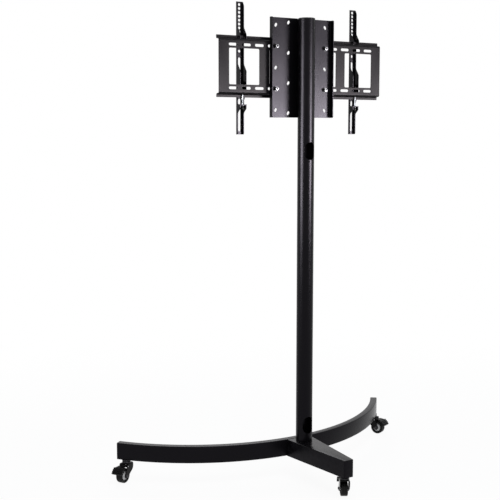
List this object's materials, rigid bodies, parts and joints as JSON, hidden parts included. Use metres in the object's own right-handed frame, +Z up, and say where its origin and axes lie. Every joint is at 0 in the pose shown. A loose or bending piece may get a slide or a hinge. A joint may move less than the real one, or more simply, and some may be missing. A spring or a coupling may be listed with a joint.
{
  "type": "tv stand",
  "caption": "Rolling television floor stand: curved front beam and tail leg on braked casters, round column, wing bracket, slotted wall plate and sliding hook arms.",
  "frame": {"origin": "centre of the whole stand's outline seen from above, on the floor under the casters", "axes": "+Z up the column, -Y towards the screen side and the open side of the curved beam, +Y along the tail leg, +X along the wall plate"},
  "size_m": [1.1956, 0.5886, 1.631],
  "materials": {
    "powder_coat": "satin black powder coat with a fine orange peel",
    "plate_coat": "fine-textured dark grey-black powder coat",
    "black_plastic": "moulded black nylon",
    "hub_plastic": "light grey moulded hub",
    "tyre_rubber": "black rubber tread",
    "zinc": "bright zinc plating",
    "dark_steel": "black oxide steel"
  },
  "bodies": {
    "stand": {"base_arc_beam": "powder_coat", "arc_end_plug_left": "powder_coat", "arc_end_plug_right": "powder_coat", "tail_leg": "powder_coat", "tail_caster_plate": "powder_coat", "column_tube": "powder_coat", "column_cap": "black_plastic", "column_foot_disc": "powder_coat", "column_foot_bolt_1": "zinc", "column_foot_bolt_2": "zinc", "column_foot_bolt_3": "zinc", "column_foot_bolt_4": "zinc", "wing_bracket": "powder_coat", "bracket_saddle_upper": "powder_coat", "bracket_saddle_lower": "powder_coat", "bracket_bolt_upper": "zinc", "bracket_bolt_lower": "zinc", "bracket_nut_upper": "zinc", "bracket_nut_lower": "zinc", "wall_plate": "plate_coat", "plate_screw_upper_left": "dark_steel", "plate_screw_upper_right": "dark_steel", "plate_screw_lower_left": "dark_steel", "plate_screw_lower_right": "dark_steel", "plate_washer_upper_left": "dark_steel", "plate_washer_upper_right": "dark_steel", "plate_washer_lower_left": "dark_steel", "plate_washer_lower_right": "dark_steel", "plate_nut_upper_left": "zinc", "plate_nut_upper_right": "zinc", "plate_nut_lower_left": "zinc", "plate_nut_lower_right": "zinc", "caster_left_stem": "zinc", "caster_right_stem": "zinc", "caster_tail_stem": "zinc"},
    "arm_left": {"tv_arm_left": "powder_coat", "lock_tab_left": "powder_coat"},
    "arm_right": {"tv_arm_right": "powder_coat", "lock_tab_right": "powder_coat"},
    "arm_lock_left": {"lock_screw_left": "zinc"},
    "arm_lock_right": {"lock_screw_right": "zinc"},
    "left_swivel": {"caster_left_fork": "powder_coat", "caster_left_axle": "dark_steel", "caster_left_brake_pin": "zinc"},
    "left_wheel": {"caster_left_hub": "hub_plastic", "caster_left_tyre": "tyre_rubber"},
    "left_brake": {"caster_left_brake": "black_plastic"},
    "right_swivel": {"caster_right_fork": "powder_coat", "caster_right_axle": "dark_steel", "caster_right_brake_pin": "zinc"},
    "right_wheel": {"caster_right_hub": "hub_plastic", "caster_right_tyre": "tyre_rubber"},
    "right_brake": {"caster_right_brake": "black_plastic"},
    "tail_swivel": {"caster_tail_fork": "powder_coat", "caster_tail_axle": "dark_steel", "caster_tail_brake_pin": "zinc"},
    "tail_wheel": {"caster_tail_hub": "hub_plastic", "caster_tail_tyre": "tyre_rubber"},
    "tail_brake": {"caster_tail_brake": "black_plastic"}
  },
  "joints": [
    {"name": "arm_left_slide", "type": "slide", "parent": "stand", "child": "arm_left", "axis": [1, 0, 0], "range_m": [-0.1, 0.083]},
    {"name": "arm_right_slide", "type": "slide", "parent": "stand", "child": "arm_right", "axis": [1, 0, 0], "range_m": [-0.088, 0.12]},
    {"name": "arm_lock_left_screw", "type": "slide", "parent": "arm_left", "child": "arm_lock_left", "axis": [0, 0, -1], "range_m": [0, 0.008]},
    {"name": "arm_lock_right_screw", "type": "slide", "parent": "arm_right", "child": "arm_lock_right", "axis": [0, 0, -1], "range_m": [0, 0.008]},
    {"name": "left_swivel_turn", "type": "hinge", "parent": "stand", "child": "left_swivel", "pos_m": [0.53457, -0.26309, 0.0756], "axis": [0, 0, 1], "continuous": true},
    {"name": "left_wheel_spin", "type": "hinge", "parent": "left_swivel", "child": "left_wheel", "pos_m": [0.55354, -0.25195, 0.0256], "axis": [0.506, -0.8625, 0], "continuous": true},
    {"name": "left_brake_press", "type": "hinge", "parent": "left_swivel", "child": "left_brake", "pos_m": [0.54664, -0.256, 0.05681], "axis": [-0.506, 0.8625, 0], "range_deg": [0, 18]},
    {"name": "right_swivel_turn", "type": "hinge", "parent": "stand", "child": "right_swivel", "pos_m": [-0.55414, -0.26309, 0.0756], "axis": [0, 0, 1], "continuous": true},
    {"name": "right_wheel_spin", "type": "hinge", "parent": "right_swivel", "child": "right_wheel", "pos_m": [-0.56294, -0.24293, 0.0256], "axis": [0.9164, 0.4004, 0], "continuous": true},
    {"name": "right_brake_press", "type": "hinge", "parent": "right_swivel", "child": "right_brake", "pos_m": [-0.55974, -0.25026, 0.05681], "axis": [-0.9164, -0.4004, 0], "range_deg": [0, 18]},
    {"name": "tail_swivel_turn", "type": "hinge", "parent": "stand", "child": "tail_swivel", "pos_m": [-0.00978, 0.27082, 0.0756], "axis": [0, 0, 1], "continuous": true},
    {"name": "tail_wheel_spin", "type": "hinge", "parent": "tail_swivel", "child": "tail_wheel", "pos_m": [-0.02131, 0.25208, 0.0256], "axis": [-0.8517, 0.524, 0], "continuous": true},
    {"name": "tail_brake_press", "type": "hinge", "parent": "tail_swivel", "child": "tail_brake", "pos_m": [-0.01712, 0.2589, 0.05681], "axis": [0.8517, -0.524, 0], "range_deg": [0, 18]}
  ]
}
